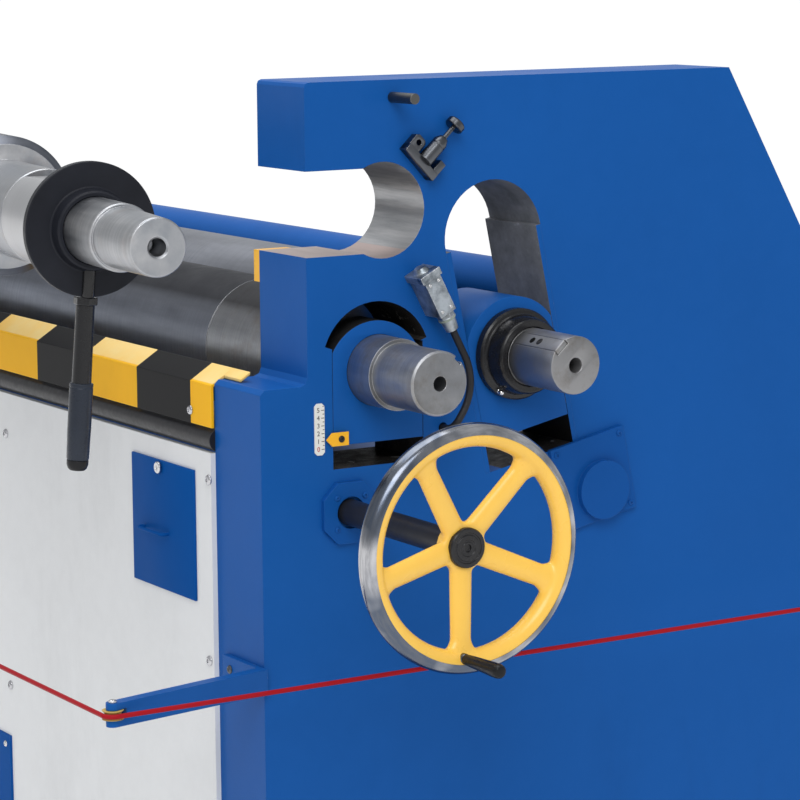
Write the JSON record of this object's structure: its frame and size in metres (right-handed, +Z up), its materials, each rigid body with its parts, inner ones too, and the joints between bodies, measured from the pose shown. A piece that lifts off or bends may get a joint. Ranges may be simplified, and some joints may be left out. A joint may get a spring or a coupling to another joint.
{
  "type": "powered plate rolling machine",
  "caption": "Powered plate bending roll with pinch, rear and swing-out upper roll between heavy end frames, handwheel setting and a safety rope around it.",
  "frame": {"origin": "on the floor, at the centre of the anchor hole pattern", "axes": "+X along the rolls towards the drop end, -Y to the operator's side, +Z up"},
  "size_m": [3.4056, 1.2899, 1.202],
  "materials": {
    "machine_blue": "semi-gloss enamel",
    "base_blue": "semi-gloss enamel",
    "panel_white": "textured powder coat",
    "safety_yellow": "semi-gloss enamel",
    "roll_steel": "ground and oiled",
    "dark_roll_steel": "ground and oiled",
    "machined_steel": "turned",
    "blackened_steel": "black oxide, satin",
    "slide_steel": "ground and greasy",
    "rim_chrome": "polished",
    "black_plastic": "satin moulding",
    "switch_metal": "die cast, satin",
    "cable_black": "matte",
    "rope_red": "plastic covered wire rope",
    "pulley_tan": "cast nylon",
    "scale_white": "satin"
  },
  "bodies": {
    "frame": {"right_stand": "machine_blue", "left_stand": "machine_blue", "cabinet": "machine_blue", "front_panel": "panel_white", "service_hatch": "machine_blue", "lower_cover": "machine_blue", "rear_panel": "machine_blue", "striped_guard": "safety_yellow", "guard_tube": "blackened_steel", "tie_tube": "machine_blue", "right_liners": "slide_steel", "left_liners": "slide_steel", "lip_plate": "safety_yellow", "limit_switch": "switch_metal", "switch_cable": "cable_black", "latch": "blackened_steel", "stop_pin": "blackened_steel", "scale_strip": "scale_white", "shaft_boss": "base_blue", "adjuster_cover": "base_blue", "rope_arms": "machine_blue", "rope_pulleys": "pulley_tan", "pull_rope": "rope_red", "drive_housing": "machine_blue", "foot_plates": "base_blue"},
    "lower_carriage": {"lower_block_right": "machine_blue", "lower_block_left": "machine_blue", "scale_pointer": "safety_yellow"},
    "lower_roll": {"lower_roll": "dark_roll_steel"},
    "rear_carriage": {"rear_block_right": "machine_blue", "rear_block_left": "machine_blue", "rear_collar": "blackened_steel"},
    "rear_roll": {"rear_roll": "roll_steel", "rear_key": "machined_steel"},
    "swivel": {"swivel_block": "blackened_steel", "bearing_bush": "machined_steel"},
    "top_roll": {"top_roll": "roll_steel"},
    "lock": {"lock_ring": "blackened_steel", "lock_lever": "blackened_steel"},
    "handwheel": {"wheel_rim": "rim_chrome", "wheel_spider": "safety_yellow", "wheel_cap": "black_plastic", "wheel_shaft": "blackened_steel"},
    "crank": {"crank_handle": "black_plastic"}
  },
  "joints": [
    {"name": "top_roll_swing", "type": "hinge", "parent": "frame", "child": "swivel", "pos_m": [-0.95, -0.249, 1.0655], "axis": [0, 0, 1], "range_deg": [0, 7.95]},
    {"name": "top_roll_spin", "type": "hinge", "parent": "swivel", "child": "top_roll", "pos_m": [-0.95, -0.249, 1.0655], "axis": [0.9904, -0.1383, 0], "continuous": true},
    {"name": "lock_turn", "type": "hinge", "parent": "swivel", "child": "lock", "pos_m": [-0.95, -0.249, 1.0655], "axis": [0.9904, -0.1383, 0], "range_deg": [-162, 2]},
    {"name": "lower_lift", "type": "slide", "parent": "frame", "child": "lower_carriage", "axis": [0, 0, 1], "range_m": [-0.02, 0.0075]},
    {"name": "lower_roll_spin", "type": "hinge", "parent": "lower_carriage", "child": "lower_roll", "pos_m": [0, -0.257, 0.8965], "axis": [1, 0, 0], "continuous": true},
    {"name": "rear_slide", "type": "slide", "parent": "frame", "child": "rear_carriage", "axis": [0, -0.1994, 0.9799], "range_m": [-0.028, 0.095]},
    {"name": "rear_roll_spin", "type": "hinge", "parent": "rear_carriage", "child": "rear_roll", "pos_m": [0, -0.084, 0.901], "axis": [1, 0, 0], "continuous": true},
    {"name": "handwheel_turn", "type": "hinge", "parent": "frame", "child": "handwheel", "pos_m": [1.725, -0.295, 0.748], "axis": [1, 0, 0], "range_deg": [-1460, 560]},
    {"name": "crank_spin", "type": "hinge", "parent": "handwheel", "child": "crank", "pos_m": [1.75, -0.3074, 0.6392], "axis": [1, 0, 0], "continuous": true}
  ],
  "couplings": [
    {"joint": "lock_turn", "follows": "top_roll_swing", "ratio": -20},
    {"joint": "handwheel_turn", "follows": "lower_lift", "rad_per_m": 1256.6}
  ]
}
